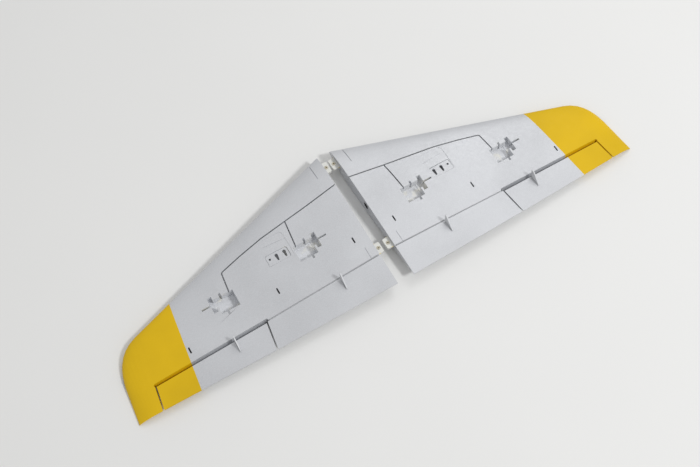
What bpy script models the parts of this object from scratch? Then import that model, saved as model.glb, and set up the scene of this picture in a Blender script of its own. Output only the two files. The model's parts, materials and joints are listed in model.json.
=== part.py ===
"""A pair of moulded-foam wing panels for a radio-controlled aeroplane, laid underside up, root to root.

World axes: X along the span, +Y towards the leading edges, +Z up.  Each panel is built in its own frame,
(outboard, forward, up) from the root leading-edge corner, and mirrored by the sign of `side`.
"""

import math

import bmesh
import bpy
from mathutils import Matrix, Vector

# ---------------------------------------------------------------- driving dimensions, metres and degrees
ROOT_CHORD = 0.2205
PANEL_SPAN = 0.3788            # root face to the trailing-edge corner of the tip
ROOT_GAP = 0.0212              # between the two root faces at their leading edges
LAID_YAW = math.radians(0.58)  # each loose panel lies this far off square, so the gap widens aft
SWEEP = math.radians(18.0)     # leading edge
TE_FORWARD = 0.0060            # how far the trailing edge runs forward between root and tip
TE_BOW = 0.0015                # and how far it bows aft on the way
THICKNESS = 0.122              # of the local chord
CAMBER = 0.020                 # of the local chord
TE_HALF = 0.0008               # half the blunt trailing edge
RIB_LEAN = 0.0495              # each rib's trailing end stands this share of its span further out

TIP_START = 0.8850 * PANEL_SPAN    # where the leading edge begins to turn
TIP_CORNER = 0.9860 * PANEL_SPAN   # the corner that the turn rounds off
TIP_EDGE_U = 0.9926 * PANEL_SPAN
TIP_EDGE_V = -0.816 * ROOT_CHORD
TIP_RIBS = 10

FOAM_GAP = 0.0003              # between any two pieces that touch
HINGE_V_ROOT = -0.785 * ROOT_CHORD
HINGE_V_SPLIT = -0.811 * ROOT_CHORD
HINGE_V_TIP = -0.826 * ROOT_CHORD
SPLIT_U = 0.4646 * PANEL_SPAN      # flap and aileron meet here, on the hinge line
AILERON_END_U = 0.8955 * PANEL_SPAN
CUT_LEAN = math.tan(math.radians(8.0))    # the end cuts run outboard as they run aft
END_GAP = 0.0020               # saw cut at each end of an aileron
AXIS_INSET = 0.0009            # hinge axis below the skin it is moulded in
NOTCH_R = 0.0012               # round clearance about the axis
AILERON_THROW = math.radians(25.0)
RELIEF_R = 0.0014              # round hole punched at each inside corner of an aileron cut
STRIP_WIDTH = 0.0015
STRIP_THICK = 0.0007

SERVO_BODY = 0.0230            # chordwise
SERVO_TABS = 0.0324
SERVO_THICK = 0.0125           # depth of the bay
SERVO_BELOW_TAB = 0.0166       # from the lug slot to the back of the bay
SERVO_ABOVE_TAB = 0.0072
TAB_SLOT = 0.0030
SHAFT_OFFSET = 0.0057          # output shaft forward of the middle of the case
ARM_SLOT = 0.0062
ARM_SWEEP = 0.0232
BOSS = 0.0122
CLEAR = 0.0004
INNER_BAY_V = -0.5329 * ROOT_CHORD
# lug slots of the inner bays, right panel and left panel: both output shafts point right
INNER_BAY_SPAN = {1: 0.1827 * PANEL_SPAN, -1: 0.2072 * PANEL_SPAN}
OUTER_BAY_V = -0.5855 * ROOT_CHORD
OUTER_BAY_SPAN = 0.5618 * PANEL_SPAN

CHANNEL_WIDTH = 0.0018
CHANNEL_DEPTH = 0.0060
CHANNEL_SHARES = [             # of the span and of the root chord
    (-0.0132, -0.2395), (0.0000, -0.2426), (0.1333, -0.2794), (0.2323, -0.3025), (0.3379, -0.3283),
    (0.4356, -0.3651), (0.5148, -0.4014), (0.5195, -0.4095), (0.5288, -0.5397),
]
CHANNEL_PATH = [(u * PANEL_SPAN, v * ROOT_CHORD) for u, v in CHANNEL_SHARES]

SPAR_U = (0.0080, 0.7920 * PANEL_SPAN)    # inner and outer end of the flat carbon strip
SPAR_V0 = -0.6186 * ROOT_CHORD            # its line where it would meet the root face
SPAR_SLOPE = -0.1623 * ROOT_CHORD / PANEL_SPAN
SPAR_WIDTH = 0.0100
SPAR_THICK = 0.0015
SPAR_COVER = 0.0032            # foam over the strip
WINDOW_U = (0.0539 * PANEL_SPAN, 0.3780 * PANEL_SPAN, 0.7402 * PANEL_SPAN)
WINDOW_LONG = 0.0092
WINDOW_WIDE = 0.0022

SOCKET_V = -0.4490 * ROOT_CHORD
SOCKET_SHARE = 0.576           # of the way from the upper skin to the underside
SOCKET_BORE_R = 0.0041
SOCKET_WALL = 0.0009
SOCKET_LENGTH = 0.0440

LUG_OUT = 0.0094               # how far a root lug stands out
LUG_THICK = 0.0040
FRONT_LUG_V = (-0.0499 * ROOT_CHORD, -0.1293 * ROOT_CHORD)
FRONT_LUG_SHARE = 0.500        # of the way from the upper skin to the underside
FRONT_LUG_IN = 0.0160
REAR_LUG_V = (-0.7007 * ROOT_CHORD, -0.7732 * ROOT_CHORD)
REAR_LUG_SHARE = 0.500
REAR_LUG_IN = 0.0125
LUG_CORNER = 0.0020
INSERT_R = 0.0025
INSERT_BORE_R = 0.0014
WITNESS_LINES = [              # scribed beside each lug: tag, distance out, two chord shares
    ("front", 0.0165, -0.1519, -0.0408), ("rear", 0.0127, -0.7846, -0.7052),
]

PAD_MID = (0.3122 * PANEL_SPAN, -0.4456 * ROOT_CHORD)   # shallow seat of an underwing store
PAD_LONG = 0.0445
PAD_WIDE = 0.0385
PAD_DEPTH = 0.00035
PAD_CREASE = 0.0102            # forward of the middle of the pad
PLATE_MID = (PAD_MID[0] + 0.0015, PAD_MID[1] - 0.0087)
PLATE_LONG = 0.0160
PLATE_WIDE = 0.0325
PLATE_THICK = 0.0026
KEYHOLE_OUT = (-0.0107, 0.0013)           # from the middle of the plate
KEYHOLE_HEAD = 0.0030
KEYHOLE_TAIL = -0.0040
KEYHOLE_HEAD_R = 0.0024
KEYHOLE_TAIL_R = 0.0013
PLATE_HOLE = (0.0118, 0.0015)
PLATE_HOLE_R = 0.0016

HORN_LONG = 0.0185
HORN_HIGH = 0.0140
HORN_THICK = 0.0016
HORN_TANG = 0.0040             # depth in the foam at its front edge, and half as much at the back
HORN_HOLE_R = 0.0006
FLAP_HORN_U = {1: 0.2112 * PANEL_SPAN, -1: 0.1650 * PANEL_SPAN}
AILERON_HORN_U = OUTER_BAY_SPAN + 0.0112

ABOVE = 0.040                  # cutters rise this far above the floor
Y_MIDDLE = ROOT_CHORD / 2

RIB_SHARES = (0.0, 0.100, 0.200, 0.300, 0.400, 0.500, 0.600, 0.700, 0.790, 0.840)
CHORD_STEPS = 24


# ---------------------------------------------------------------- wing shape
def te_v(u):
    share = u / PANEL_SPAN
    return -ROOT_CHORD + TE_FORWARD * share - TE_BOW * 4 * share * (1 - share)


def le_v(u):
    return -math.tan(SWEEP) * u


def half_thickness(x):
    """Thickness form of a classic four-digit section: 1 at its thickest, closed at the trailing edge."""
    poly = 0.2969 * math.sqrt(x) - 0.1260 * x - 0.3516 * x**2 + 0.2843 * x**3 - 0.1036 * x**4
    return poly * 10.0


def section(x, chord, fullness=1.0):
    """Heights of the underside and of the upper skin above the chord line."""
    half = THICKNESS * chord / 2 * half_thickness(x) * fullness + TE_HALF * math.sqrt(x)
    sag = CAMBER * chord * 4 * x * (1 - x) * fullness
    return half - sag, -half - sag


FRACTIONS = [1 - math.cos(i / (CHORD_STEPS - 1) * math.pi / 2) for i in range(CHORD_STEPS)]


def seat_height(chord, fullness=1.0):
    """Height of the chord line when the upper skin just touches the floor."""
    return max(-section(x, chord, fullness)[1] for x in FRACTIONS)


def straight_rib(u_le):
    front = Vector((u_le, le_v(u_le)))
    u_te = u_le * (1 + RIB_LEAN)
    back = Vector((u_te, te_v(u_te)))
    return front, back, seat_height((front - back).length), 1.0


def tip_rib(step):
    """Ribs fan round the tip, thinning down to the floor, until the last one lies along its edge."""
    share = math.sin(step / TIP_RIBS * math.pi / 2)
    a = Vector((TIP_START, le_v(TIP_START)))
    c = Vector((TIP_CORNER, le_v(TIP_CORNER)))
    b = Vector((TIP_EDGE_U, TIP_EDGE_V))
    t = 0.85 * share
    front = a * (1 - t) ** 2 + c * 2 * t * (1 - t) + b * t**2
    u_start = TIP_START * (1 + RIB_LEAN)
    u_te = u_start + (PANEL_SPAN - u_start) * share
    back = Vector((u_te, te_v(u_te)))
    fullness = math.sqrt(max(0.0, 1 - share**2.4))
    return front, back, seat_height((front - back).length, fullness), fullness


RIBS = [straight_rib(share * PANEL_SPAN) for share in RIB_SHARES] + [tip_rib(k) for k in range(TIP_RIBS + 1)]


def rib_place(u, v):
    """Rib and chord fraction of a point of the straight part of the panel."""
    x = 0.5
    for _ in range(12):
        s = u / (1 + RIB_LEAN * x)
        front, back, base, _ = straight_rib(s)
        x = min(1.0, max(0.0, (front.y - v) / (front.y - back.y)))
    return (front - back).length, base, x


def under_z(u, v):
    chord, base, x = rib_place(max(u, 0.0), v)
    return base + section(x, chord)[0]


def upper_z(u, v):
    chord, base, x = rib_place(max(u, 0.0), v)
    return base + section(x, chord)[1]


def between_skins(u, v, share):
    return upper_z(u, v) + (under_z(u, v) - upper_z(u, v)) * share


def hinge_v(u):
    if u < SPLIT_U:
        return HINGE_V_ROOT + (HINGE_V_SPLIT - HINGE_V_ROOT) * u / SPLIT_U
    return HINGE_V_SPLIT + (HINGE_V_TIP - HINGE_V_SPLIT) * (u - SPLIT_U) / (AILERON_END_U - SPLIT_U)


def hinge_point(u, surface):
    """A point of a hinge axis: an aileron turns at the upper skin, a flap at the underside skin."""
    v = hinge_v(u)
    z = upper_z(u, v) + AXIS_INSET if surface == "aileron" else under_z(u, v) - AXIS_INSET
    return Vector((u, v, z))


FLAP_AXIS = (hinge_point(0.0, "flap"), hinge_point(SPLIT_U - 1e-6, "flap"))
AILERON_AXIS = (hinge_point(SPLIT_U, "aileron"), hinge_point(AILERON_END_U, "aileron"))


# ---------------------------------------------------------------- scene helpers
CUTTERS = "rc_wing_cutters"


def clear_scene():
    for obj in list(bpy.data.objects):
        bpy.data.objects.remove(obj, do_unlink=True)


def new_collection(name, parent=None):
    made = bpy.data.collections.new(name)
    (parent or bpy.context.scene.collection).children.link(made)
    return made


def material(name, colour, metallic, roughness):
    made = bpy.data.materials.new(name)
    made.use_nodes = True
    shader = made.node_tree.nodes["Principled BSDF"]
    shader.inputs["Base Color"].default_value = (*colour, 1.0)
    shader.inputs["Metallic"].default_value = metallic
    shader.inputs["Roughness"].default_value = roughness
    made.diffuse_color = (*colour, 1.0)
    return made


class Side:
    """One panel: its frame, its sign, and the pieces hung on it."""

    def __init__(self, word, sign, parts, cutters):
        self.word = word
        self.sign = sign
        self.parts = parts
        self.cutters = cutters
        self.frame = bpy.data.objects.new("frame_" + word, None)
        self.frame.location = (sign * ROOT_GAP / 2, Y_MIDDLE, 0.0)
        self.frame.rotation_euler.z = sign * LAID_YAW
        parts.objects.link(self.frame)

    def point(self, u, v, z):
        return Vector((self.sign * u, v, z))

    def add(self, name, bm, origin=(0.0, 0.0, 0.0), mat=None, smooth=False, cutter=False):
        """Turn a bmesh in (outboard, forward, up) into an object whose origin is `origin`."""
        for vert in bm.verts:
            vert.co = self.point(*(vert.co - Vector(origin)))
        bmesh.ops.recalc_face_normals(bm, faces=bm.faces)
        if bm.calc_volume(signed=True) < 0:
            bmesh.ops.reverse_faces(bm, faces=bm.faces)
        mesh = bpy.data.meshes.new(f"{name}_{self.word}")
        bm.to_mesh(mesh)
        bm.free()
        if smooth:
            for face in mesh.polygons:
                face.use_smooth = True
        obj = bpy.data.objects.new(mesh.name, mesh)
        obj.parent = self.frame
        obj.location = self.point(*origin)
        (self.cutters if cutter else self.parts).objects.link(obj)
        if cutter:
            obj.hide_render = True
            obj.display_type = "WIRE"
        else:
            mesh.materials.append(mat)
        return obj

    def cutter(self, name, bm):
        return self.add("cut_" + name, bm, cutter=True)


def keep_within(target, tool):
    modifier = target.modifiers.new(tool.name, "BOOLEAN")
    modifier.operation = "INTERSECT"
    modifier.solver = "EXACT"
    modifier.object = tool


def cut(target, tool):
    """Every piece has one Boolean, whose collection holds all that is cut from it."""
    modifier = target.modifiers.get("cuts")
    if modifier is None:
        modifier = target.modifiers.new("cuts", "BOOLEAN")
        modifier.operation = "DIFFERENCE"
        modifier.solver = "EXACT"
        modifier.operand_type = "COLLECTION"
        modifier.collection = new_collection("cuts_" + target.name, bpy.data.collections[CUTTERS])
    modifier.collection.objects.link(tool)


# ---------------------------------------------------------------- shape helpers, in (outboard, forward, up)
def extruded(points, travel):
    """Solid swept from a flat outline along one straight line."""
    bm = bmesh.new()
    face = bm.faces.new([bm.verts.new(p) for p in points])
    swept = bmesh.ops.extrude_face_region(bm, geom=[face], use_keep_orig=True)
    moved = [item for item in swept["geom"] if isinstance(item, bmesh.types.BMVert)]
    bmesh.ops.translate(bm, verts=moved, vec=travel)
    return bm


def prism(outline, low, high):
    """Upright prism on a plan outline; low and high are heights or functions of (u, v)."""
    bm = extruded([(u, v, 0.0) for u, v in outline], (0.0, 0.0, ABOVE))
    for vert in bm.verts:
        limit = high if vert.co.z > ABOVE / 2 else low
        vert.co.z = limit(vert.co.x, vert.co.y) if callable(limit) else limit
    bmesh.ops.triangulate(bm, faces=bm.faces)
    return bm


def box(u0, u1, v0, v1, z0, z1):
    bm = bmesh.new()
    place = Matrix.Translation(((u0 + u1) / 2, (v0 + v1) / 2, (z0 + z1) / 2))
    size = Matrix.Diagonal((u1 - u0, v1 - v0, z1 - z0, 1.0))
    bmesh.ops.create_cube(bm, size=1.0, matrix=place @ size)
    return bm


def rounded(u0, u1, v0, v1, radius, steps=3):
    """Plan rectangle with round corners."""
    outline = []
    corners = [(u1 - radius, v1 - radius, 0), (u0 + radius, v1 - radius, 90),
               (u0 + radius, v0 + radius, 180), (u1 - radius, v0 + radius, 270)]
    for cu, cv, start in corners:
        for k in range(steps + 1):
            a = math.radians(start + 90 * k / steps)
            outline.append((cu + radius * math.cos(a), cv + radius * math.sin(a)))
    return outline


def placed_between(start, end):
    """Matrix that stands local Z along the line from start to end, about its middle."""
    start, end = Vector(start), Vector(end)
    turn = (end - start).to_track_quat("Z", "Y").to_matrix().to_4x4()
    return Matrix.Translation((start + end) / 2) @ turn


def rod(start, end, radius, sides):
    bm = bmesh.new()
    bmesh.ops.create_cone(bm, cap_ends=True, segments=sides, radius1=radius, radius2=radius,
                          depth=(Vector(end) - Vector(start)).length, matrix=placed_between(start, end))
    return bm


def bar(start, end, wide, thick):
    """Flat bar along a line: wide is chordwise, thick is upright."""
    bm = bmesh.new()
    length = (Vector(end) - Vector(start)).length
    size = Matrix.Diagonal((thick, wide, length, 1.0))
    bmesh.ops.create_cube(bm, size=1.0, matrix=placed_between(start, end) @ size)
    return bm


def wing_loft():
    """The whole aerofoil panel, before anything is cut from it."""
    bm = bmesh.new()
    rings = []
    for front, back, base, fullness in RIBS:
        chord = (front - back).length
        under = []
        upper = []
        for x in FRACTIONS:
            plan = front.lerp(back, x)
            up, down = section(x, chord, fullness)
            under.append((plan.x, plan.y, base + up))
            upper.append((plan.x, plan.y, base + down))
        rings.append([bm.verts.new(p) for p in under[::-1] + upper[1:]])
    for first, second in zip(rings, rings[1:]):
        for i in range(len(first)):
            j = (i + 1) % len(first)
            bm.faces.new((first[i], first[j], second[j], second[i]))
    bm.faces.new(rings[0][::-1])
    bm.faces.new(rings[-1])
    return bm


def strip_outline(path, width):
    """Plan outline of a band of even width along a path."""
    left, right = [], []
    for i, (u, v) in enumerate(path):
        ahead = Vector(path[min(i + 1, len(path) - 1)]) - Vector(path[i])
        behind = Vector(path[i]) - Vector(path[max(i - 1, 0)])
        along = (ahead.normalized() + behind.normalized()).normalized()
        square = Vector((-along.y, along.x))
        spread = width / 2 / max(0.5, square.dot(Vector((-behind.y, behind.x)).normalized()) if i else 1.0)
        left.append(tuple(Vector((u, v)) + square * spread))
        right.append(tuple(Vector((u, v)) - square * spread))
    return left + right[::-1]


def wedge(axis, profile, trim_in, trim_out):
    """Solid on one side of a hinge axis: the profile is (distance aft, height over the axis)."""
    start = axis[0] + Vector((trim_in, 0.0, 0.0))
    end = axis[1] + Vector((trim_out, 0.0, 0.0))
    outline = [(start.x + CUT_LEAN * aft, start.y - aft, start.z + rise) for aft, rise in profile]
    return extruded(outline, end - start)


def bore_cut(axis, trim_in, trim_out, radius):
    along = (axis[1] - axis[0]).normalized()
    return rod(axis[0] + along * trim_in, axis[1] + along * trim_out, radius, 12)


# ---------------------------------------------------------------- the pieces
REACH = 0.060   # cutters run this far aft of a hinge
DROOP = -0.030


def v_profile(gap, lean):
    """Nose or wall of an aileron cut: upright below the axis, leaning back above it."""
    top = 0.030
    return [(gap, DROOP), (REACH, DROOP), (REACH, top), (gap + top * math.tan(lean), top), (gap, 0.0)]


def flap_profile(gap, lean):
    """Nose or wall of a flap cut: upright above the axis, leaning back below it."""
    top = 0.030
    return [(gap + -DROOP * math.tan(lean), DROOP), (REACH, DROOP), (REACH, top), (gap, top), (gap, 0.0)]


WALL_LEAN = math.radians(16.0)
NOSE_LEAN = AILERON_THROW + math.radians(0.7) - WALL_LEAN
FLAP_DRAFT = math.radians(4.0)


def bay_cutters(side, tag, lug_u, mid_v, heading):
    """Servo bay, as boxes that open at the underside; `heading` is the way the output shaft points."""
    low = min(under_z(lug_u + a, mid_v + b) for a in (-0.016, 0.020) for b in (-0.016, 0.016))
    floor = low - SERVO_THICK
    shaft_v = mid_v + SHAFT_OFFSET

    def span(a, b):
        return tuple(sorted((lug_u + heading * a, lug_u + heading * b)))

    top = SERVO_ABOVE_TAB + TAB_SLOT
    arm = top + 0.0026
    boxes = {
        "case": (*span(-SERVO_BELOW_TAB, top), *spread(mid_v, SERVO_BODY + 2 * CLEAR), floor),
        "tabs": (*span(0.0, TAB_SLOT), *spread(mid_v, SERVO_TABS), floor + 0.0004),
        "boss": (*span(top - 0.001, arm + 0.001), *spread(shaft_v, BOSS), floor + 0.0009),
        "arm": (*span(arm, arm + ARM_SLOT), *spread(shaft_v, ARM_SWEEP), floor + 0.0017),
        "driver": (*span(arm + ARM_SLOT - 0.001, arm + ARM_SLOT + 0.0128), *spread(shaft_v, 0.0026),
                   low - 0.0085),
    }
    return [side.cutter(f"{tag}_{name}", box(u0, u1, v0, v1, z, ABOVE))
            for name, (u0, u1, v0, v1, z) in boxes.items()]


def channel_cutters(side, bay_u):
    def floor(u, v):
        return under_z(u, v) - CHANNEL_DEPTH

    main = prism(strip_outline(CHANNEL_PATH, CHANNEL_WIDTH), floor, ABOVE)
    start_v = CHANNEL_PATH[1][1] - 0.149 * (bay_u - 0.003)
    branch_path = [(bay_u - 0.0030, start_v), (bay_u - 0.0005, start_v - 0.0200),
                   (bay_u + 0.0020, INNER_BAY_V + SERVO_BODY / 2 - 0.001)]
    branch = prism(strip_outline(branch_path, CHANNEL_WIDTH), lambda u, v: floor(u, v) - 0.0005, ABOVE)
    return [side.cutter("channel", main), side.cutter("channel_branch", branch)]


def keyhole(u, plate_v):
    head = [math.radians(-30 + 240 * k / 8) for k in range(9)]
    tail = [math.radians(180 + 180 * k / 4) for k in range(5)]
    head_v, tail_v = plate_v + KEYHOLE_HEAD, plate_v + KEYHOLE_TAIL
    outline = [(u + KEYHOLE_HEAD_R * math.cos(a), head_v + KEYHOLE_HEAD_R * math.sin(a)) for a in head]
    outline += [(u + KEYHOLE_TAIL_R * math.cos(a), tail_v + KEYHOLE_TAIL_R * math.sin(a)) for a in tail]
    return outline


def spread(middle, width):
    return middle - width / 2, middle + width / 2


def circle(u, v, radius, sides=12):
    return [(u + radius * math.cos(2 * math.pi * k / sides), v + radius * math.sin(2 * math.pi * k / sides))
            for k in range(sides)]


def spar_v(u):
    return SPAR_V0 + SPAR_SLOPE * u


def spar_height(u, offset):
    """The strip is straight: its height runs evenly between its two ends."""
    ends = [under_z(e, spar_v(e)) - SPAR_COVER for e in SPAR_U]
    share = (u - SPAR_U[0]) / (SPAR_U[1] - SPAR_U[0])
    return ends[0] + (ends[1] - ends[0]) * share - offset


def spar_body(grow):
    along = Vector((1.0, SPAR_SLOPE)).normalized()
    square = Vector((-along.y, along.x)) * (SPAR_WIDTH / 2 + grow)
    ends = []
    for e, way in zip(SPAR_U, (-1, 1)):
        centre = Vector((e, spar_v(e))) + along * grow * way
        ends.append((centre - square, centre + square))
    outline = [tuple(ends[0][0]), tuple(ends[1][0]), tuple(ends[1][1]), tuple(ends[0][1])]
    return prism(outline, lambda u, v: spar_height(u, SPAR_THICK + grow), lambda u, v: spar_height(u, -grow))


def lug_body(v_pair, z, inward, grow):
    v0, v1 = min(v_pair) - grow, max(v_pair) + grow
    if grow:
        return box(-0.02, inward + grow, v0, v1, z - LUG_THICK / 2 - grow, z + LUG_THICK / 2 + grow)
    tip = rounded(-LUG_OUT, inward, v0, v1, LUG_CORNER)
    return prism(tip, z - LUG_THICK / 2, z + LUG_THICK / 2)


def add_lug(side, tag, v_pair, z, inward, mats):
    lug = side.add(tag + "_lug", lug_body(v_pair, z, inward, 0.0), mat=mats["nylon"])
    mid_v = sum(v_pair) / 2
    mid_u = -LUG_OUT / 2
    hole = rod((mid_u, mid_v, z - 0.01), (mid_u, mid_v, z + 0.01), INSERT_R + FOAM_GAP, 16)
    cut(lug, side.cutter(tag + "_lug_hole", hole))
    ends = ((mid_u, mid_v, z - LUG_THICK / 2), (mid_u, mid_v, z + LUG_THICK / 2))
    insert = side.add(tag + "_lug_insert", rod(*ends, INSERT_R, 16), origin=(mid_u, mid_v, z),
                      mat=mats["brass"])
    bore = rod((mid_u, mid_v, z - 0.01), (mid_u, mid_v, z + 0.01), INSERT_BORE_R, 16)
    cut(insert, side.cutter(tag + "_lug_insert_bore", bore))
    return side.cutter(tag + "_lug_seat", lug_body(v_pair, z, inward, FOAM_GAP))


def horn_body(u, grow):
    """Upright plate across the hinge line: a tang in the foam and a triangular blade over it."""
    axis_v = hinge_v(u)
    front = axis_v - 0.0035 + grow
    back = axis_v - HORN_LONG + 0.0010 - grow
    front_skin = under_z(u, front)
    back_skin = under_z(u, back)
    tang = [(back, back_skin - HORN_TANG / 2 - grow), (front, front_skin - HORN_TANG - grow)]
    if grow:
        profile = tang + [(front, ABOVE), (back, ABOVE)]
    else:
        top = under_z(u, axis_v) + HORN_HIGH
        heel = under_z(u, axis_v - HORN_LONG)
        profile = tang + [
            (front, front_skin + 0.0005), (axis_v - 0.0016, under_z(u, axis_v) + 0.0009),
            (axis_v + 0.0016, top - 0.0012), (axis_v + 0.0002, top), (axis_v - 0.0024, top),
            (axis_v - HORN_LONG, heel + 0.0016), (axis_v - HORN_LONG, heel + 0.0005),
            (back, back_skin + 0.0005),
        ]
    half = HORN_THICK / 2 + grow
    return extruded([(u - half, v, z) for v, z in profile], (2 * half, 0.0, 0.0))


def add_horn(side, surface, tag, u, mat):
    axis = hinge_point(u, tag)
    horn = side.add(tag + "_horn", horn_body(u, 0.0), origin=tuple(axis), mat=mat)
    top = under_z(u, axis.y) + HORN_HIGH
    for k in range(3):
        z = top - 0.0020 - 0.0024 * k
        v = axis.y - 0.0006 - 0.0006 * k
        hole = rod((u - 0.004, v, z), (u + 0.004, v, z), HORN_HOLE_R, 8)
        cut(horn, side.cutter(f"{tag}_horn_hole_{k + 1}", hole))
    cut(surface, side.cutter(tag + "_horn_seat", horn_body(u, FOAM_GAP)))
    return horn


def build_side(word, sign, parts, cutters, mats):
    side = Side(word, sign, parts, cutters)
    panel = side.add("wing_panel", wing_loft(), mat=mats["foam"], smooth=True)

    # control surfaces and the saw cuts that free them
    half_gap = END_GAP / 2
    profile = v_profile(-FOAM_GAP, -WALL_LEAN)
    wall = side.cutter("aileron_bay", wedge(AILERON_AXIS, profile, -half_gap, half_gap))
    profile = flap_profile(-FOAM_GAP, 0.0)
    flap_wall = side.cutter("flap_bay", wedge(FLAP_AXIS, profile, -0.03, half_gap))
    a_notch = side.cutter("aileron_notch", bore_cut(AILERON_AXIS, -half_gap, half_gap, NOTCH_R))
    f_notch = side.cutter("flap_notch", bore_cut(FLAP_AXIS, -0.02, half_gap, NOTCH_R))
    for tool in (wall, flap_wall, a_notch, f_notch):
        cut(panel, tool)
    for k, (u, nudge) in enumerate(((SPLIT_U - 0.0012, 0.0012), (AILERON_END_U + 0.0006, 0.0006))):
        v = hinge_v(u) + nudge
        cut(panel, side.cutter(f"relief_{k + 1}", rod((u, v, -0.01), (u, v, ABOVE), RELIEF_R, 16)))

    aileron_origin = tuple(AILERON_AXIS[0])
    aileron = side.add("aileron", wing_loft(), origin=aileron_origin, mat=mats["foam_aileron"], smooth=True)
    nose = wedge(AILERON_AXIS, v_profile(FOAM_GAP, NOSE_LEAN), half_gap, -half_gap)
    keep_within(aileron, side.cutter("aileron_nose", nose))
    cut(aileron, a_notch)

    flap_origin = tuple(FLAP_AXIS[0])
    flap = side.add("flap", wing_loft(), origin=flap_origin, mat=mats["foam_flap"], smooth=True)
    nose = wedge(FLAP_AXIS, flap_profile(FOAM_GAP, FLAP_DRAFT), -0.03, -half_gap)
    keep_within(flap, side.cutter("flap_nose", nose))
    cut(flap, f_notch)

    # flexible hinge strips on the two axes
    for tag, axis in (("aileron", AILERON_AXIS), ("flap", FLAP_AXIS)):
        start, end = axis
        along = (end - start).normalized()
        strip = bar(start + along * 0.0020, end - along * 0.0042, STRIP_WIDTH, STRIP_THICK)
        side.add(tag + "_hinge_strip", strip, origin=tuple(start), mat=mats["strip"])

    # servo bays: the outer pair is mirrored, the inner pair is not
    inner_u = INNER_BAY_SPAN[sign]
    tools = bay_cutters(side, "outer_bay", OUTER_BAY_SPAN - TAB_SLOT / 2, OUTER_BAY_V, 1)
    tools += bay_cutters(side, "inner_bay", inner_u - sign * TAB_SLOT / 2, INNER_BAY_V, sign)
    branch_end = inner_u - sign * (SERVO_BELOW_TAB - 0.0045) - (0.002 if sign > 0 else 0.0)
    tools += channel_cutters(side, branch_end)
    for tool in tools:
        cut(panel, tool)

    # carbon strip and the three windows over it
    side.add("spar_strip", spar_body(0.0), mat=mats["carbon"])
    cut(panel, side.cutter("spar_seat", spar_body(FOAM_GAP)))
    for k, u in enumerate(WINDOW_U):
        v = spar_v(u)
        z = spar_height(u, SPAR_THICK / 2)
        outline = rounded(*spread(u, WINDOW_WIDE), *spread(v, WINDOW_LONG), WINDOW_WIDE * 0.45, 2)
        cut(panel, side.cutter(f"window_{k + 1}", prism(outline, z, ABOVE)))

    # socket for the joiner rod
    height = between_skins(0.0, SOCKET_V, SOCKET_SHARE)
    mouth = Vector((0.0, SOCKET_V, height))
    end = Vector((SOCKET_LENGTH, SOCKET_V, height))
    beyond = Vector((0.01, 0.0, 0.0))
    outer = SOCKET_BORE_R + SOCKET_WALL
    seat = rod(mouth - beyond, end + beyond * FOAM_GAP / 0.01, outer + FOAM_GAP, 20)
    cut(panel, side.cutter("socket_seat", seat))
    sleeve = side.add("joiner_socket", rod(mouth, end, outer, 20), origin=tuple(mouth), mat=mats["tube"])
    cut(sleeve, side.cutter("socket_bore", rod(mouth - beyond, end + beyond, SOCKET_BORE_R, 20)))

    # root lugs
    for tag, v_pair, share, inward in (("front", FRONT_LUG_V, FRONT_LUG_SHARE, FRONT_LUG_IN),
                                       ("rear", REAR_LUG_V, REAR_LUG_SHARE, REAR_LUG_IN)):
        height = between_skins(0.0, sum(v_pair) / 2, share)
        cut(panel, add_lug(side, tag, v_pair, height, inward, mats))
    for tag, u, share_0, share_1 in WITNESS_LINES:
        v0, v1 = share_0 * ROOT_CHORD, share_1 * ROOT_CHORD
        outline = [(u - 0.0004, v0), (u + 0.0004, v0), (u + 0.0004, v1), (u - 0.0004, v1)]
        groove = prism(outline, lambda a, b: under_z(a, b) - 0.0007, ABOVE)
        cut(panel, side.cutter(tag + "_witness_line", groove))

    # seat and plate of an underwing store
    pad_u, pad_v = spread(PAD_MID[0], PAD_WIDE), spread(PAD_MID[1], PAD_LONG)
    pad = prism(rounded(*pad_u, *pad_v, 0.006), lambda a, b: under_z(a, b) - PAD_DEPTH, ABOVE)
    cut(panel, side.cutter("store_pad", pad))
    crease_v = PAD_MID[1] + PAD_CREASE
    crease = prism([(pad_u[0] + 0.001, crease_v - 0.0003), (pad_u[1] - 0.006, crease_v + 0.0018),
                    (pad_u[1] - 0.006, crease_v + 0.0024), (pad_u[0] + 0.001, crease_v + 0.0003)],
                   lambda a, b: under_z(a, b) - PAD_DEPTH - 0.0005, ABOVE)
    cut(panel, side.cutter("store_crease", crease))
    plate_u, plate_v = spread(PLATE_MID[0], PLATE_WIDE), spread(PLATE_MID[1], PLATE_LONG)
    plate_top = min(under_z(u, v) for u in plate_u for v in plate_v) - PAD_DEPTH - 0.0001
    plate_low = plate_top - PLATE_THICK
    plate = side.add("store_plate", prism(rounded(*plate_u, *plate_v, 0.0025), plate_low, plate_top),
                     origin=(*PLATE_MID, plate_top), mat=mats["plate"])
    grown = rounded(*spread(PLATE_MID[0], PLATE_WIDE + 2 * FOAM_GAP),
                    *spread(PLATE_MID[1], PLATE_LONG + 2 * FOAM_GAP), 0.0028)
    cut(panel, side.cutter("plate_seat", prism(grown, plate_low - FOAM_GAP, ABOVE)))
    holes = [(f"keyhole_{k + 1}", keyhole(PLATE_MID[0] + out, PLATE_MID[1]))
             for k, out in enumerate(KEYHOLE_OUT)]
    hole_centre = (PLATE_MID[0] + PLATE_HOLE[0], PLATE_MID[1] + PLATE_HOLE[1])
    holes.append(("plate_hole", circle(*hole_centre, PLATE_HOLE_R)))
    for tag, outline in holes:
        cut(plate, side.cutter(tag, prism(outline, plate_low - 0.002, ABOVE)))
    well = rounded(*spread(PLATE_MID[0], PLATE_WIDE - 0.0040),
                   *spread(PLATE_MID[1], PLATE_LONG - 0.0030), 0.0015, 2)
    cut(panel, side.cutter("plate_well", prism(well, plate_low - 0.0050, ABOVE)))

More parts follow.
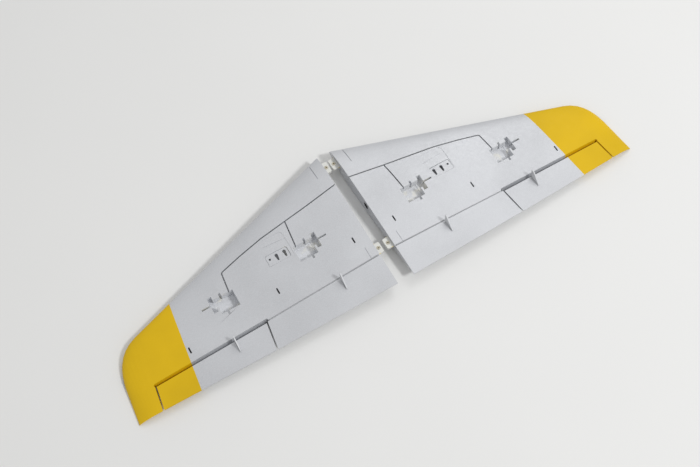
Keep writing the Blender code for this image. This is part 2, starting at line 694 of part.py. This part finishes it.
    add_horn(side, aileron, "aileron", AILERON_HORN_U, mats["horn"])
    add_horn(side, flap, "flap", FLAP_HORN_U[sign], mats["horn"])


def main():
    clear_scene()
    parts = new_collection("rc_wing_panel_pair")
    cutters = new_collection(CUTTERS)
    mats = {
        "foam": material("painted_foam", (0.56, 0.57, 0.59), 0.25, 0.50),
        "foam_aileron": material("painted_foam_aileron", (0.56, 0.57, 0.59), 0.25, 0.50),
        "foam_flap": material("painted_foam_flap", (0.56, 0.57, 0.59), 0.25, 0.50),
        "nylon": material("root_lug_plastic", (0.78, 0.77, 0.72), 0.0, 0.42),
        "brass": material("insert_brass", (0.78, 0.60, 0.22), 1.0, 0.35),
        "carbon": material("carbon_strip", (0.02, 0.02, 0.022), 0.0, 0.35),
        "tube": material("socket_tube", (0.05, 0.05, 0.055), 0.0, 0.40),
        "plate": material("store_plate_plastic", (0.50, 0.51, 0.53), 0.0, 0.45),
        "horn": material("horn_plastic", (0.72, 0.73, 0.75), 0.0, 0.40),
        "strip": material("hinge_strip", (0.50, 0.51, 0.53), 0.0, 0.55),
    }
    for word, sign in (("left", -1), ("right", 1)):
        build_side(word, sign, parts, cutters, mats)
    bpy.context.view_layer.update()


main()
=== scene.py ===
"""Looks for a pair of painted foam wing panels: smooth skins, painted tips, fittings and the stage."""

import json
import math

import bpy
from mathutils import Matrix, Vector
from mathutils.bvhtree import BVHTree


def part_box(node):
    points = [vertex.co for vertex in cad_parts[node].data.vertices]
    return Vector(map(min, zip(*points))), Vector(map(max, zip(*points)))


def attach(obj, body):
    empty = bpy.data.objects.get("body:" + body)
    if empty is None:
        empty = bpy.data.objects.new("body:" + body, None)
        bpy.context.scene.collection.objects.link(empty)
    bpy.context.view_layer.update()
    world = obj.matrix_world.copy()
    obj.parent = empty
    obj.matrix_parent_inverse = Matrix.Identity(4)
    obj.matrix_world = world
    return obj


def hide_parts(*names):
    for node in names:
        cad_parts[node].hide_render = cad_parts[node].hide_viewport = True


bl_info = {
    "name": "Foam wing panel pair",
    "version": (1, 0, 0),
    "blender": (4, 5, 0),
    "location": "3D Viewport > Sidebar > Wing panels",
    "description": "Builds the painted skins, fittings and stage of a pair of foam model wing panels",
    "category": "Object",
}

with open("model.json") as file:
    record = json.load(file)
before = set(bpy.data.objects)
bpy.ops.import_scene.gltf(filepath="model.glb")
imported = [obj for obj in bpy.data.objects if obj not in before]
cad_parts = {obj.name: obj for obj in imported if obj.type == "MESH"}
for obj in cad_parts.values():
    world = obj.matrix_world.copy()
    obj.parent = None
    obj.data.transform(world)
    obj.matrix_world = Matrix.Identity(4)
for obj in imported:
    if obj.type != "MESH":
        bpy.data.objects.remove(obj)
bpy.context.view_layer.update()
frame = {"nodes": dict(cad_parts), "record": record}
RECORD = frame["record"]
SIDES = ("left", "right")
OPENINGS = {entry["name"]: entry["box_m"] for entry in RECORD["physics"]["openings"]}
MOUNTS = {entry["name"]: entry for entry in RECORD["mounts"]}


# The moulded shape of a panel, in its own frame (outboard, forward, up) from the root leading-edge corner.
ROOT_CHORD = 0.2205
PANEL_SPAN = 0.3788
ROOT_GAP = 0.0212
LAID_YAW = math.radians(0.58)
SWEEP = math.radians(18.0)
TE_FORWARD = 0.0060
TE_BOW = 0.0015
THICKNESS = 0.122
CAMBER = 0.020
TE_HALF = 0.0008
RIB_LEAN = 0.0495
TIP_START = 0.8850 * PANEL_SPAN
TIP_CORNER = 0.9860 * PANEL_SPAN
TIP_EDGE = Vector((0.9926 * PANEL_SPAN, -0.816 * ROOT_CHORD))
TIP_REACH = 0.85                   # how far along the tip's curve the last rib starts
TIP_THINNING = 2.4                 # power by which the tip thins out

# How a mesh is cleaned, and how its faces are told apart. Lengths are in metres.
MERGE_DISTANCE = 1e-6
FLAT_ANGLE = math.radians(0.4)
SMOOTH_ANGLE = math.radians(32)
FOAM_EDGE_ANGLE = 38               # degrees between faces from which a foam edge is rounded
SKIN_DISTANCE = 0.00025
SKIN_FACING = 0.93
EDGE_WIDTH = 0.00022
SKIN_CORNER_DISTANCE = 0.0003
EDGE_CORNER_DISTANCE = 0.00004
LEVEL_FACING = 0.9999
UPRIGHT_FACING = 0.02
BAY_MARGIN = (0.030, 0.008)        # arm slots and grooves reach this far past a servo bay

# Paint, set once for the parts of its node tree that share it
PAINT_EDGE_SLOPE = 0.12851
PAINT_EDGE_BLUR = 0.0001
SILVER_METAL = 0.40
SILVER_SHINE = 0.5
YELLOW_SHINE = 0.22

# Glue beads at the root lugs
GLUE_RADIUS = 0.00085
GLUE_FLATNESS = 0.75
GLUE_LUMP = 0.0016
GLUE_UNEVEN = 0.0005
GLUE_INSIDE = 0.0030
GLUE_OUTSIDE = 0.0006
GLUE_BELOW_TOP = 0.0008
GLUE_FROM_EDGE = 0.0002

CAMERA_PLACE = (-0.3036, -0.4705, 1.1605)
CAMERA_TILT = math.radians(24.955)
CAMERA_TURN = math.radians(-30.976)
WORLD_STRENGTH = 0.57


def body_of_node(node):
    return next(body for body, members in RECORD["behaviour"]["bodies"].items() if node in members)


# ---------------------------------------------------------------- settings
def colour(name, description, default):
    return bpy.props.FloatVectorProperty(name=name, description=description, default=default, subtype="COLOR",
                                         size=3, min=0.0, max=1.0)


def length(name, description, default):
    return bpy.props.FloatProperty(name=name, description=description, default=default, min=0.0,
                                   subtype="DISTANCE", unit="LENGTH")


class WingPaintSettings(bpy.types.PropertyGroup):
    silver: colour("Silver", "Main paint of the panels", (0.580, 0.590, 0.612))
    yellow: colour("Yellow", "Paint of the tips", (0.700, 0.450, 0.006))
    bare_foam: colour("Bare foam", "Foam where the spray did not reach", (0.80, 0.79, 0.74))
    paint_edge: length("Paint edge", "Spanwise place of the tip colour's edge, at mid chord", 0.29017)
    bead_size: length("Bead size", "Width of one foam bead under the paint", 0.0030)


class WingFittingSettings(bpy.types.PropertyGroup):
    nylon: colour("Nylon", "Root lugs", (0.74, 0.74, 0.70))
    horn: colour("Horn", "Control horns", (0.66, 0.67, 0.69))
    foam_round: length("Foam rounding", "Rounding of cut and moulded foam edges", 0.00030)


class WingStageSettings(bpy.types.PropertyGroup):
    floor: colour("Floor", "Pale floor under the panels", (0.80, 0.80, 0.79))
    lens: bpy.props.FloatProperty(name="Lens", description="Camera focal length in millimetres",
                                  default=47.435, min=1.0, unit="CAMERA")


# ---------------------------------------------------------------- mesh helpers
def deselect():
    if bpy.context.mode != "OBJECT":
        bpy.ops.object.mode_set(mode="OBJECT")
    bpy.ops.object.select_all(action="DESELECT")


def activate(piece):
    deselect()
    piece.select_set(True)
    bpy.context.view_layer.objects.active = piece


def bake_place(piece):
    """Put the piece's place into its mesh, so that its object stands at the origin."""
    activate(piece)
    bpy.ops.object.transform_apply(location=True, rotation=True, scale=True)


def apply_all(piece):
    activate(piece)
    for modifier in list(piece.modifiers):
        bpy.ops.object.modifier_apply(modifier=modifier.name)


def finish_piece(piece, body, material, replaces=()):
    bake_place(piece)
    piece.data.materials.clear()
    piece.data.materials.append(material)
    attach(piece, body)
    if replaces:
        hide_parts(*replaces)
    return piece


def merged_copy(node, name):
    """A copy of a CAD node with its triangles merged and its flat faces made whole."""
    mesh = frame["nodes"][node].data.copy()
    mesh.name = name
    mesh.materials.clear()
    piece = bpy.data.objects.new(name, mesh)
    bpy.context.scene.collection.objects.link(piece)
    activate(piece)
    bpy.ops.object.mode_set(mode="EDIT")
    bpy.ops.mesh.select_all(action="SELECT")
    bpy.ops.mesh.remove_doubles(threshold=MERGE_DISTANCE)
    bpy.ops.mesh.dissolve_limited(angle_limit=FLAT_ANGLE)
    bpy.ops.object.mode_set(mode="OBJECT")
    return piece


def soften(piece, width, angle, segments=2):
    """Round the sharp edges, then shade smooth across the gentle ones."""
    bevel = piece.modifiers.new("soft_edges", "BEVEL")
    bevel.limit_method = "ANGLE"
    bevel.angle_limit = math.radians(angle)
    bevel.width = width
    bevel.segments = segments
    bevel.use_clamp_overlap = True
    bevel.harden_normals = False
    apply_all(piece)
    activate(piece)
    bpy.ops.object.shade_smooth_by_angle(angle=SMOOTH_ANGLE)


# ---------------------------------------------------------------- material helpers
class Nodes:
    """Short hand for building one material's node tree."""

    def __init__(self, name):
        self.material = bpy.data.materials.new(name)
        self.material.use_nodes = True
        self.tree = self.material.node_tree
        self.shader = self.tree.nodes["Principled BSDF"]
        self.place = self.tree.nodes.new("ShaderNodeTexCoord").outputs["Object"]

    def add(self, kind, inputs=None, **settings):
        node = self.tree.nodes.new(kind)
        for key, value in settings.items():
            setattr(node, key, value)
        for key, value in (inputs or {}).items():
            self.feed(node.inputs[key], value)
        return node

    def feed(self, socket, value):
        if isinstance(value, bpy.types.NodeSocket):
            self.tree.links.new(value, socket)
        else:
            socket.default_value = value

    def noise(self, scale, detail=2.0, roughness=0.5, vector=None):
        made = self.add("ShaderNodeTexNoise", {"Vector": vector or self.place, "Scale": scale,
                                               "Detail": detail, "Roughness": roughness})
        return made.outputs["Fac"]

    def math(self, operation, first, second=0.0):
        made = self.add("ShaderNodeMath", {0: first, 1: second}, operation=operation)
        return made.outputs[0]

    def ramp(self, value, low, high, out_low=0.0, out_high=1.0, smooth=False):
        made = self.add("ShaderNodeMapRange", {"Value": value, "From Min": low, "From Max": high,
                                               "To Min": out_low, "To Max": out_high},
                        interpolation_type="SMOOTHSTEP" if smooth else "LINEAR")
        return made.outputs["Result"]

    def bead_seams(self, bead_size, width):
        """0 in the seams between the foam's beads and 1 on the beads."""
        cells = self.add("ShaderNodeTexVoronoi",
                         {"Vector": self.place, "Scale": 1.0 / bead_size, "Randomness": 0.9},
                         feature="DISTANCE_TO_EDGE")
        return self.ramp(cells.outputs["Distance"], 0.0, width, smooth=True)

    def mix(self, factor, first, second):
        made = self.tree.nodes.new("ShaderNodeMix")
        made.data_type = "RGBA"
        self.feed(made.inputs["Factor"], factor)
        for socket, value in ((made.inputs[6], first), (made.inputs[7], second)):
            self.feed(socket, value if isinstance(value, bpy.types.NodeSocket) else (*value, 1.0))
        return made.outputs[2]

    def bump(self, height, distance, strength=1.0, normal=None):
        inputs = {"Height": height, "Distance": distance, "Strength": strength}
        if normal is not None:
            inputs["Normal"] = normal
        return self.add("ShaderNodeBump", inputs).outputs["Normal"]

    def set(self, **values):
        for key, value in values.items():
            socket = self.shader.inputs[key.replace("_", " ")]
            if isinstance(value, tuple) and len(value) == 3 and not key.endswith("Normal"):
                value = (*value, 1.0)
            self.feed(socket, value)
        return self.material


def scaled(tone, factor):
    return tuple(min(1.0, channel * factor) for channel in tone)


def painted_foam(name, with_tip):
    """Silver sprayed over moulded beads, with the tips masked and sprayed yellow."""
    paint = bpy.context.scene.wing_paint
    silver, yellow = tuple(paint.silver), tuple(paint.yellow)
    n = Nodes(name)
    cloud = n.noise(9.0, 3.0, 0.55)
    speck = n.noise(900.0, 2.0, 0.6)
    silver_mix = n.mix(n.ramp(cloud, 0.35, 0.65), scaled(silver, 0.94), scaled(silver, 1.05))
    silver_mix = n.mix(n.ramp(speck, 0.42, 0.60, 0.0, 0.30), silver_mix, scaled(silver, 1.25))
    tone = silver_mix
    metal = SILVER_METAL
    shine = SILVER_SHINE
    rough = n.ramp(n.noise(240.0, 3.0, 0.6), 0.3, 0.7, 0.40, 0.54)
    if with_tip:
        yellow_mix = n.mix(n.ramp(cloud, 0.35, 0.65), scaled(yellow, 0.93), scaled(yellow, 1.06))
        parts = n.add("ShaderNodeSeparateXYZ", {"Vector": n.place})
        reach = n.math("ADD", n.math("ABSOLUTE", parts.outputs["X"]),
                       n.math("MULTIPLY", parts.outputs["Y"], PAINT_EDGE_SLOPE))
        wander = n.math("MULTIPLY", n.math("SUBTRACT", n.noise(300.0, 3.0, 0.6), 0.5), 0.0007)
        reach = n.math("ADD", reach, wander)
        mask = n.ramp(reach, paint.paint_edge - PAINT_EDGE_BLUR, paint.paint_edge + PAINT_EDGE_BLUR)
        tone = n.mix(mask, silver_mix, yellow_mix)
        metal = n.ramp(mask, 0.0, 1.0, SILVER_METAL, 0.0)
        shine = n.ramp(mask, 0.0, 1.0, SILVER_SHINE, YELLOW_SHINE)
    seams = n.bead_seams(paint.bead_size, 0.10)
    normal = n.bump(seams, 0.00006, 0.5)
    normal = n.bump(n.noise(700.0, 3.0, 0.6), 0.00004, 0.5, normal)
    return n.set(Base_Color=tone, Metallic=metal, Roughness=rough, Specular_IOR_Level=shine, Normal=normal)


def oversprayed_foam(name):
    """Bay walls and floors: bare beads that caught only part of the spray, with painted shade in the seams
    between beads.
    """
    paint = bpy.context.scene.wing_paint
    silver, bare = tuple(paint.silver), tuple(paint.bare_foam)
    n = Nodes(name)
    patches = n.noise(55.0, 3.0, 0.6)
    tone = n.mix(n.ramp(patches, 0.34, 0.50, smooth=True), bare, scaled(silver, 1.22))
    seams = n.bead_seams(paint.bead_size, 0.12)
    # The seams between the beads are drawn darker: painted shade in the crevices between the beads.
    tone = n.mix(n.ramp(seams, 0.0, 1.0, 0.22, 0.0), tone, scaled(silver, 0.75))
    normal = n.bump(seams, 0.00012, 0.7)
    return n.set(Base_Color=tone, Metallic=0.0, Roughness=0.62, Normal=normal)


def moulded_plastic(name, tone, rough, grain=0.00002):
    n = Nodes(name)
    body = n.mix(n.ramp(n.noise(60.0, 3.0, 0.6), 0.3, 0.7), scaled(tone, 0.93), scaled(tone, 1.05))
    gloss = n.ramp(n.noise(400.0, 3.0, 0.6), 0.3, 0.7, rough - 0.06, rough + 0.08)
    return n.set(Base_Color=body, Roughness=gloss, Normal=n.bump(n.noise(1500.0, 2.0, 0.5), grain, 0.5))


def carbon_strip_material():
    n = Nodes("carbon_strip_finish")
    along = n.add("ShaderNodeMapping", {"Vector": n.place, "Scale": (40.0, 4000.0, 1500.0)}).outputs["Vector"]
    fibres = n.noise(1.0, 3.0, 0.6, along)
    tone = n.mix(n.ramp(fibres, 0.35, 0.65), (0.012, 0.012, 0.013), (0.045, 0.045, 0.050))
    return n.set(Base_Color=tone, Roughness=n.ramp(fibres, 0.3, 0.7, 0.26, 0.42),
                 Normal=n.bump(fibres, 0.00002, 0.5))


def insert_material():
    """Dull plated metal of the bushes in the lugs."""
    n = Nodes("insert_brass_finish")
    dull = n.noise(700.0, 3.0, 0.6)
    tone = n.mix(n.ramp(dull, 0.35, 0.65), (0.50, 0.45, 0.33), (0.68, 0.63, 0.50))
    return n.set(Base_Color=tone, Metallic=1.0, Roughness=n.ramp(dull, 0.3, 0.7, 0.24, 0.40),
                 Normal=n.bump(n.noise(2500.0, 2.0, 0.5), 0.00001, 0.5))


def glue_material():
    n = Nodes("amber_glue")
    tone = n.mix(n.noise(500.0, 3.0, 0.6), (0.72, 0.50, 0.10), (0.88, 0.74, 0.36))
    return n.set(Base_Color=tone, Roughness=0.22, Normal=n.bump(n.noise(900.0, 2.0, 0.5), 0.00005, 0.5))


def floor_material():
    tone = tuple(bpy.context.scene.wing_stage.floor)
    n = Nodes("pale_floor")
    body = n.mix(n.ramp(n.noise(2.5, 3.0, 0.5), 0.3, 0.7), scaled(tone, 0.99), scaled(tone, 1.01))
    return n.set(Base_Color=body, Roughness=0.75, Normal=n.bump(n.noise(180.0, 3.0, 0.6), 0.00003, 0.3))


# ---------------------------------------------------------------- the moulded surface, as a guide for shading
def section(x, chord, fullness):
    poly = 0.2969 * math.sqrt(x) - 0.1260 * x - 0.3516 * x**2 + 0.2843 * x**3 - 0.1036 * x**4
    half = THICKNESS * chord * 5 * poly * fullness + TE_HALF * math.sqrt(x)
    sag = CAMBER * chord * 4 * x * (1 - x) * fullness
    return half - sag, -half - sag


def edge_v(u):
    share = u / PANEL_SPAN
    return -ROOT_CHORD + TE_FORWARD * share - TE_BOW * 4 * share * (1 - share)


def moulded_rib(place):
    """Leading point, trailing point and fullness of a rib.

    place runs from 0 at the root to 1 where the tip starts, then to 2 round the tip.
    """
    if place <= 1:
        u = TIP_START * place
        end = u * (1 + RIB_LEAN)
        return Vector((u, -math.tan(SWEEP) * u)), Vector((end, edge_v(end))), 1.0
    share = math.sin((place - 1) * math.pi / 2)
    start = Vector((TIP_START, -math.tan(SWEEP) * TIP_START))
    corner = Vector((TIP_CORNER, -math.tan(SWEEP) * TIP_CORNER))
    t = TIP_REACH * share
    front = start * (1 - t) ** 2 + corner * 2 * t * (1 - t) + TIP_EDGE * t**2
    first = TIP_START * (1 + RIB_LEAN)
    end = first + (PANEL_SPAN - first) * share
    return front, Vector((end, edge_v(end))), math.sqrt(max(0.0, 1 - share**TIP_THINNING))


class Guide:
    """Finely divided moulded surface of one panel, which gives a smooth normal at any point near it."""

    STEPS = 48
    RIBS = 24

    def __init__(self, side):
        sign = -1 if side == "left" else 1
        cos, sin = math.cos(LAID_YAW), math.sin(LAID_YAW)
        fractions = [1 - math.cos(i / self.STEPS * math.pi / 2) for i in range(self.STEPS + 1)]
        places = [i / self.RIBS for i in range(2 * self.RIBS + 1)]
        points, faces = [], []
        for place in places:
            front, back, fullness = moulded_rib(place)
            chord = (front - back).length
            heights = [section(x, chord, fullness) for x in fractions]
            base = max(-low for _, low in heights)
            ring = [(x, up) for x, (up, _) in zip(fractions, heights)][::-1]
            ring += [(x, low) for x, (_, low) in zip(fractions, heights)][1:]
            for x, height in ring:
                plan = front.lerp(back, x)
                points.append(Vector((sign * (ROOT_GAP / 2 + plan.x * cos - plan.y * sin),
                                      ROOT_CHORD / 2 + plan.x * sin + plan.y * cos, base + height)))
        row = 2 * self.STEPS + 1
        for r in range(len(places) - 1):
            for i in range(row - 1):
                a, b = r * row + i, (r + 1) * row + i
                faces.append((a, a + 1, b + 1, b) if sign > 0 else (a, b, b + 1, a + 1))
        mesh = bpy.data.meshes.new(f"guide_{side}")
        mesh.from_pydata(points, [], faces)
        self.normals = [vert.normal.copy() for vert in mesh.vertices]
        self.points = points
        self.faces = faces
        bpy.data.meshes.remove(mesh)
        self.tree = BVHTree.FromPolygons(points, faces)

    def at(self, point):
        """Distance to the moulded surface, and its smooth normal there."""
        near, _, index, distance = self.tree.find_nearest(point)
        total = Vector((0.0, 0.0, 0.0))
        for corner in self.faces[index]:
            total += self.normals[corner] / ((self.points[corner] - near).length + 1e-6) ** 2
        return distance, total.normalized()


def shade_by_guide(piece, guide):
    """Give moulded skin the guide's normals and leave cut faces flat, with rounded edges between them."""
    mesh = piece.data
    at_vertex = [guide.at(vert.co) for vert in mesh.vertices]
    skin, narrow = [], []
    for face in mesh.polygons:
        distance, normal = guide.at(face.center)
        outline = sum((mesh.vertices[a].co - mesh.vertices[b].co).length
                      for a, b in zip(face.vertices, (*face.vertices[1:], face.vertices[0])))
        skin.append(distance < SKIN_DISTANCE and face.normal.dot(normal) > SKIN_FACING)
        narrow.append(not skin[-1] and 2 * face.area / max(outline, 1e-9) < EDGE_WIDTH)
    widest = {}
    for face in mesh.polygons:
        if narrow[face.index]:
            continue
        for vert in face.vertices:
            if vert not in widest or face.area > widest[vert][0]:
                widest[vert] = (face.area, face.normal.copy())
    normals = [None] * len(mesh.loops)
    for face in mesh.polygons:
        for loop in face.loop_indices:
            vert = mesh.loops[loop].vertex_index
            distance, smooth = at_vertex[vert]
            if skin[face.index]:
                normals[loop] = smooth if distance < SKIN_CORNER_DISTANCE else face.normal
            elif narrow[face.index]:
                fallback = widest[vert][1] if vert in widest else mesh.vertices[vert].normal
                normals[loop] = smooth if distance < EDGE_CORNER_DISTANCE else fallback
            else:
                normals[loop] = face.normal
    mesh.normals_split_custom_set([tuple(normal) for normal in normals])


# ---------------------------------------------------------------- skins
def inside_bay(centre):
    """True for a point in the plan of a servo bay, its slots and grooves included."""
    for name, (low, high) in OPENINGS.items():
        if "servo_bay" not in name:
            continue
        reach_x, reach_y = BAY_MARGIN
        if not low[0] - reach_x < centre.x < high[0] + reach_x:
            continue
        if low[1] - reach_y < centre.y < high[1] + reach_y:
            return True
    return False


def build_skin(node, material_name, with_tip):
    settings = bpy.context.scene.wing_fittings
    piece = merged_copy(node, node.replace("wing_panel", "panel") + "_skin")
    soften(piece, settings.foam_round, FOAM_EDGE_ANGLE)
    bake_place(piece)
    shade_by_guide(piece, Guide(node.rsplit("_", 1)[1]))
    paint = bpy.data.materials.get(material_name) or painted_foam(material_name, with_tip)
    finish_piece(piece, body_of_node(node), paint, [node])
    if node.startswith("wing_panel"):
        inner = bpy.data.materials.get("oversprayed_foam") or oversprayed_foam("oversprayed_foam")
        piece.data.materials.append(inner)
        for face in piece.data.polygons:
            flat = face.normal.z > LEVEL_FACING or abs(face.normal.z) < UPRIGHT_FACING
            if flat and inside_bay(face.center):
                face.material_index = 1
    return piece


class WING_OT_skins(bpy.types.Operator):
    """Smooth, soft-edged skins over the two panels, with paint and open servo bays"""

    bl_idname = "wing.skins"
    bl_label = "Panel skins"

    def execute(self, context):
        for side in SIDES:
            build_skin(f"wing_panel_{side}", "panel_paint", True)
        return {"FINISHED"}


class WING_OT_surfaces(bpy.types.Operator):
    """Skins of the ailerons and flaps"""

    bl_idname = "wing.surfaces"
    bl_label = "Control surfaces"

    def execute(self, context):
        for side in SIDES:
            build_skin(f"aileron_{side}", "aileron_paint", True)
            build_skin(f"flap_{side}", "flap_paint", False)
        return {"FINISHED"}


def glue_bead(name, start, end, radius):
    """An uneven bead of glue, lying along a lug where it enters the foam."""
    deselect()
    middle, along = (start + end) / 2, end - start
    bpy.ops.mesh.primitive_uv_sphere_add(segments=24, ring_count=14, radius=radius, location=middle)
    bead = bpy.context.active_object
    bead.name = name
    bead.scale = (1.0, GLUE_FLATNESS, along.length / (2 * radius))
    bead.rotation_mode = "QUATERNION"
    bead.rotation_quaternion = along.to_track_quat("Z", "Y")
    lumps = bpy.data.textures.new(name + "_lumps", "CLOUDS")
    lumps.noise_scale = GLUE_LUMP
    bake_place(bead)
    uneven = bead.modifiers.new("uneven", "DISPLACE")
    uneven.texture = lumps
    uneven.texture_coords = "LOCAL"
    uneven.strength = GLUE_UNEVEN
    apply_all(bead)
    bpy.ops.object.shade_smooth()
    return bead


class WING_OT_glue(bpy.types.Operator):
    """Beads of amber glue where the root lugs enter the foam"""

    bl_idname = "wing.glue"
    bl_label = "Glue beads"

    def execute(self, context):
        glue = glue_material()
        for side in SIDES:
            sign = -1 if side == "left" else 1
            for lug in ("front_lug", "rear_lug"):
                low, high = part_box(f"{lug}_{side}")
                height = high[2] - GLUE_BELOW_TOP
                face = MOUNTS[f"root_face_{side}"]["pos_m"][0]
                for tag, y in (("fore", high[1] - GLUE_FROM_EDGE), ("aft", low[1] + GLUE_FROM_EDGE)):
                    start = Vector((face - sign * GLUE_INSIDE, y, height))
                    end = Vector((face + sign * GLUE_OUTSIDE, y, height))
                    bead = glue_bead(f"glue_{lug}_{tag}_{side}", start, end, GLUE_RADIUS)
                    finish_piece(bead, body_of_node(f"{lug}_{side}"), glue)
        return {"FINISHED"}


class WING_OT_fittings(bpy.types.Operator):
    """Root lugs, horns, plates, sockets and strips"""

    bl_idname = "wing.fittings"
    bl_label = "Fittings"

    def execute(self, context):
        settings = context.scene.wing_fittings
        finishes = {
            "hinge_strip": moulded_plastic("hinge_strip_finish", (0.50, 0.51, 0.53), 0.50),
            "spar_strip": carbon_strip_material(),
            "joiner_socket": moulded_plastic("socket_finish", (0.035, 0.035, 0.038), 0.42),
            "front_lug_insert": insert_material(),
            "front_lug": moulded_plastic("lug_nylon", tuple(settings.nylon), 0.36),
            "store_plate": painted_foam("plate_paint", False),
            "horn": moulded_plastic("horn_nylon", tuple(settings.horn), 0.38),
        }
        finishes["rear_lug_insert"] = finishes["front_lug_insert"]
        finishes["rear_lug"] = finishes["front_lug"]
        for name, node in frame["nodes"].items():
            stem = name.rsplit("_", 1)[0]
            key = "horn" if stem.endswith("horn") else "hinge_strip" if "hinge_strip" in stem else stem
            if key not in finishes:
                continue
            node.data.materials.clear()
            node.data.materials.append(finishes[key])
        return {"FINISHED"}


# ---------------------------------------------------------------- stage
def area_light(name, place, aim, size, power):
    light = bpy.data.lights.new(name, "AREA")
    light.shape = "SQUARE"
    light.size = size
    light.energy = power
    lamp = bpy.data.objects.new(name, light)
    lamp.location = place
    lamp.rotation_mode = "QUATERNION"
    lamp.rotation_quaternion = (Vector(aim) - Vector(place)).to_track_quat("-Z", "Y")
    bpy.context.scene.collection.objects.link(lamp)
    return lamp


class WING_OT_stage(bpy.types.Operator):
    """Pale floor, soft studio light and the camera"""

    bl_idname = "wing.stage"
    bl_label = "Stage"

    def execute(self, context):
        deselect()
        bpy.ops.mesh.primitive_plane_add(size=14.0, location=(0.0, 0.0, 0.0))
        floor = context.active_object
        floor.name = "pale_floor"
        bake_place(floor)
        floor.data.materials.append(floor_material())

        area_light("key_light", (1.45, -1.75, 2.75), (0.0, 0.0, 0.0), 0.50, 50.0)
        area_light("side_softbox", (1.05, 0.75, 1.60), (0.15, 0.0, 0.0), 0.9, 5.5)

        world = bpy.data.worlds.new("studio")
        world.use_nodes = True
        backdrop = world.node_tree.nodes["Background"]
        backdrop.inputs["Color"].default_value = (1.0, 1.0, 1.0, 1.0)
        backdrop.inputs["Strength"].default_value = WORLD_STRENGTH
        context.scene.world = world
        context.scene.view_settings.view_transform = "Standard"

        data = bpy.data.cameras.new("camera")
        data.lens = context.scene.wing_stage.lens
        data.sensor_width = 36.0
        data.clip_start = 0.01
        data.clip_end = 50.0
        camera = bpy.data.objects.new("camera", data)
        camera.location = CAMERA_PLACE
        camera.rotation_euler = (CAMERA_TILT, 0.0, CAMERA_TURN)
        context.scene.collection.objects.link(camera)
        context.scene.camera = camera
        return {"FINISHED"}


class WING_PT_panel(bpy.types.Panel):
    """Buttons for each group of pieces"""

    bl_label = "Wing panels"
    bl_idname = "WING_PT_panel"
    bl_space_type = "VIEW_3D"
    bl_region_type = "UI"
    bl_category = "Wing panels"

    def draw(self, context):
        layout = self.layout
        for operator in OPERATORS:
            layout.operator(operator.bl_idname)
        for group in (context.scene.wing_paint, context.scene.wing_fittings, context.scene.wing_stage):
            column = layout.column(align=True)
            for key in group.__annotations__:
                column.prop(group, key)


OPERATORS = (WING_OT_stage, WING_OT_skins, WING_OT_surfaces, WING_OT_glue, WING_OT_fittings)
SETTINGS = {"wing_paint": WingPaintSettings, "wing_fittings": WingFittingSettings,
            "wing_stage": WingStageSettings}


def register():
    for made in (*SETTINGS.values(), *OPERATORS, WING_PT_panel):
        bpy.utils.register_class(made)
    for key, group in SETTINGS.items():
        setattr(bpy.types.Scene, key, bpy.props.PointerProperty(type=group))


def unregister():
    for key in SETTINGS:
        delattr(bpy.types.Scene, key)
    for made in reversed((*SETTINGS.values(), *OPERATORS, WING_PT_panel)):
        bpy.utils.unregister_class(made)


def main():
    register()
    bpy.ops.wing.stage()
    bpy.ops.wing.skins()
    bpy.ops.wing.surfaces()
    bpy.ops.wing.glue()
    bpy.ops.wing.fittings()


if __name__ == "__main__":
    main()
